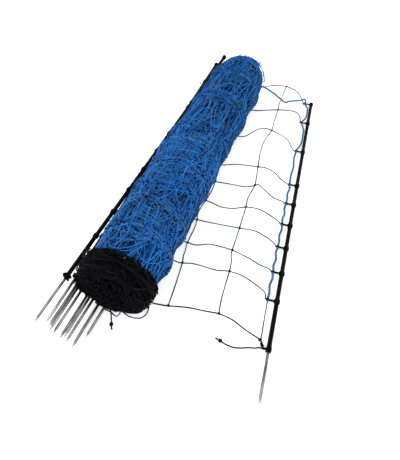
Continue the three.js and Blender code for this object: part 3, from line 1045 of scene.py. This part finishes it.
STAYS = (
    ((187, 732, 40), (186, 690, 33), (185, 653, 24), (183, 622, 10), (187, 592, 1.9), (191, 540, 5),
     (195, 486, 14), (205, 394, 30), (196, 340, 26), (193, 297, 20), (197, 247, 9), (208, 187, 1.9),
     (217, 134, 1.9), (225, 83, 1.9), (221, 32, 1.9), (220, 5, 1.9), (226, -35, 1.9), (230, -89, 1.9),
     (234, -136, 1.9), (237, -185, 1.9), (240, -233, 1.9), (244, -257, 1.9), (251, -275, 1.9),
     (257, -314, 1.9), (262, -373, 1.9), (266, -415, 1.9), (274.5, -463, 2.2)),
    ((62, 108, 4), (72, 80, 1.9), (82, 49, 3), (86, 3, 1.9), (84, -55, 3), (79, -96, 1.9), (80, -127, 1.9),
     (88, -152, 3), (93, -190, 1.9), (95, -256, 3), (100, -286, 1.9), (103, -311, 1.9), (110, -337, 1.9),
     (121, -412, 1.9), (130.5, -491, 2.2)),
)
KNOTS = ((187, 732, 40), (187, 592, 1.9), (205, 394, 30), (208, 187, 1.9), (225, 83, 1.9), (226, -35, 1.9),
         (234, -136, 1.9), (240, -233, 1.9), (257, -314, 1.9), (82, 49, 3), (84, -55, 3), (88, -152, 3),
         (95, -256, 3), (110, -337, 1.9), (274.5, -463, 2.4), (130.5, -491, 2.4), (406, -497, 4.0),
         (404, -499, 3.6), (411, -508, 6), (416, -515, 8), (413, -512, 7))
GROUND = ((58, -506, 12), (84, -500, 4), (106, -496, 2.2), (130.5, -491, 2.2), (185, -476, 2.2),
          (235, -469, 2.2), (274.5, -463, 2.2), (315, -467, 2.2), (358, -483, 2.2), (392, -493, 2.2),
          (406, -499, 4), (412, -508, 6), (416, -517.6, 8.5))
CORD_HEAD = ((109, 600, 92), (151, 619, 62), (206, 616, 32), (222, 640, 25), (258, 668, 20), (280, 696, 15),
             (288, 698, 11))
CORD_TAIL = ((395, -396, 5), (400, -440, 2), (405, -480, 2), (406, -494.5, 4.5))
FREE_FOOT = Vector((433.6, -519.8, 9))
FREE_HEAD = Vector((318, 675, 9))
ARM_REACH = 27.0
# Twisted strands: ply thickness and offset as shares of the strand's, then pitch and step in metres
PLIES = 3
THIN_PLY, THIN_OFFSET, THIN_PITCH, THIN_STEP = 0.45, 0.16, 0.011, 0.0014
LOW_PLY, LOW_OFFSET, LOW_PITCH, LOW_STEP = 0.42, 0.2, 0.013, 0.0015
# The same of the end cord and its tail, with ply thickness and offset in metres too
CORD_PLY, CORD_OFFSET, CORD_PITCH, CORD_STEP = 0.0020, 0.0021, 0.026, 0.0022
TAIL_PLY, TAIL_OFFSET, TAIL_PITCH, TAIL_STEP = 0.0012, 0.0006, 0.012, 0.0014
# How much thicker the two highest strands and the others are drawn
HIGH_SCALE, LOW_SCALE = 1.45, 1.15
HITCH_R, HITCH_STRAND = 0.0030, 0.0018


def eye(height, out=0.0, lift=0.0):
    """The cord's place in the free post's clip at this height."""
    along = (FREE_HEAD - FREE_FOOT).normalized()
    side = Vector((-1, 0, 0))
    side = (side - along * side.dot(along)).normalized()
    place = FREE_FOOT + along * height + side * (ARM_REACH + out)
    return at(place.x, place.y, place.z + lift)


def plies(line, count, offset, pitch, step):
    """Lay a few thinner strands round a line, as a twisted cord has them."""
    spaced = [line[0]]
    left = step
    for a, b in zip(line, line[1:]):
        gap = (b - a).length
        where = left
        while where < gap:
            spaced.append(a + (b - a) * (where / gap))
            where += step
        left = where - gap
    spaced.append(line[-1])
    result = [[] for _ in range(count)]
    gone = 0.0
    for i, place in enumerate(spaced):
        ahead = spaced[min(i + 1, len(spaced) - 1)] - spaced[max(i - 1, 0)]
        ahead.normalize()
        side = ahead.cross(Vector((0, 0, 1)))
        side = side.normalized() if side.length > 0.05 else Vector((1, 0, 0))
        up = side.cross(ahead)
        if i:
            gone += (place - spaced[i - 1]).length
        for n in range(count):
            a = 2 * math.pi * (gone / pitch + n / count)
            result[n].append(place + side * offset * math.cos(a) + up * offset * math.sin(a))
    return result


class NETTING_OT_panel(bpy.types.Operator):
    """Unrolled strands, their stays and knots"""
    bl_idname = "netting.panel"
    bl_label = "Unrolled netting"

    def execute(self, context):
        sizes = context.scene.netting_sizes
        lines = []
        for i, row in enumerate(ROWS):
            end = eye(HEIGHTS[i + 1], 7.0, -4.0 if i == 8 else 0.0)
            lines.append(smooth([at(*p) for p in row] + [end], 6))
        lines += [smooth([at(*p) for p in stay], 5) for stay in STAYS]
        ply = sizes.strand * THIN_PLY
        twisted, scales = [], []
        for i, line in enumerate(lines):
            twisted += plies(line, PLIES, sizes.strand * THIN_OFFSET, THIN_PITCH, THIN_STEP)
            scales += [HIGH_SCALE if i in (7, 8) else LOW_SCALE] * PLIES
        piece = strand_mesh("netting_panel_strands", twisted, ply, scales=scales)
        paint(piece, thin_strand())
        keep(piece, "strand_blue", "netting_panel")
        line = smooth([at(*p) for p in GROUND], 6)
        twisted = plies(line, PLIES, sizes.ground * LOW_OFFSET, LOW_PITCH, LOW_STEP)
        piece = strand_mesh("ground_strand_twist", twisted, sizes.ground * LOW_PLY)
        paint(piece, black_strand())
        keep(piece, "netting_black", "ground_strand")
        hitches = []
        for x, y, z in KNOTS:
            centre = at(x, y, max(z, 3.6))
            for tilt in (0.8, -0.8):
                ring = []
                for i in range(11):
                    a = 2 * math.pi * i / 10
                    ring.append(centre + Vector((math.cos(tilt) * math.cos(a), math.sin(tilt) * math.cos(a),
                                                 math.sin(a) * 0.8)) * HITCH_R)
                hitches.append(ring)
            hitches.append([centre + Vector((k * 0.0012 - 0.003, k * 0.0004, 0)) for k in range(6)])
        piece = strand_mesh("netting_panel_knots", hitches, HITCH_STRAND, 6)
        paint(piece, black_strand())
        keep(piece, "netting_black")
        return {'FINISHED'}


class NETTING_OT_end_cord(bpy.types.Operator):
    """Twisted blue cord down the end post"""
    bl_idname = "netting.end_cord"
    bl_label = "End cord"

    def execute(self, context):
        marks = [at(90, 584, 100)] + [at(*p) for p in CORD_HEAD]
        for i in range(9, 0, -1):
            marks += [eye(HEIGHTS[i] + 5), eye(HEIGHTS[i] - 5)]
            if i == 1:
                break
            step = (HEIGHTS[i] - HEIGHTS[i - 1]) / 4
            swing = (-13.0, -15.0, -14.0) if i >= 8 else ((2.5, -1.5, 2.0) if i % 2 else (-2.0, 2.0, -1.0))
            lift = 2.0 if i >= 8 else 0.0
            marks += [eye(HEIGHTS[i] - step * (k + 1), out, lift) for k, out in enumerate(swing)]
        twisted = plies(smooth(marks, 6), PLIES, CORD_OFFSET, CORD_PITCH, CORD_STEP)
        piece = strand_mesh("end_cord_twist", twisted, CORD_PLY, 6)
        paint(piece, cord_blue())
        keep(piece, "cord_blue", "end_cord")
        marks = [eye(HEIGHTS[1] - 5)] + [at(*p) for p in CORD_TAIL]
        twisted = plies(smooth(marks, 6), PLIES, TAIL_OFFSET, TAIL_PITCH, TAIL_STEP)
        piece = strand_mesh("end_cord_tail_twist", twisted, TAIL_PLY)
        paint(piece, thin_strand())
        keep(piece, "cord_blue", "end_cord_tail")
        return {'FINISHED'}


# Sidebar


class NETTING_PT_sidebar(bpy.types.Panel):
    """The netting's pieces and settings in the 3D view's sidebar"""
    bl_idname = "NETTING_PT_sidebar"
    bl_label = "Wound wolf netting"
    bl_space_type = 'VIEW_3D'
    bl_region_type = 'UI'
    bl_category = "Netting"

    def draw(self, context):
        layout = self.layout
        for settings in (context.scene.netting_sizes, context.scene.netting_looks):
            for name in settings.__annotations__:
                layout.prop(settings, name)
        for operator in OPERATORS:
            layout.operator(operator.bl_idname)


# Register

OPERATORS = (NETTING_OT_stage, NETTING_OT_tie_cords, NETTING_OT_posts, NETTING_OT_spikes, NETTING_OT_wound,
             NETTING_OT_panel, NETTING_OT_end_cord)
CLASSES = (NettingSizes, NettingLooks, *OPERATORS, NETTING_PT_sidebar)


def register():
    for cls in CLASSES:
        bpy.utils.register_class(cls)
    bpy.types.Scene.netting_sizes = bpy.props.PointerProperty(type=NettingSizes)
    bpy.types.Scene.netting_looks = bpy.props.PointerProperty(type=NettingLooks)


def unregister():
    del bpy.types.Scene.netting_looks
    del bpy.types.Scene.netting_sizes
    for cls in reversed(CLASSES):
        bpy.utils.unregister_class(cls)


def main():
    register()
    bpy.ops.netting.stage()
    bpy.ops.netting.tie_cords()
    bpy.ops.netting.posts()
    bpy.ops.netting.spikes()
    bpy.ops.netting.wound()
    bpy.ops.netting.panel()
    bpy.ops.netting.end_cord()


if __name__ == "__main__":
    main()
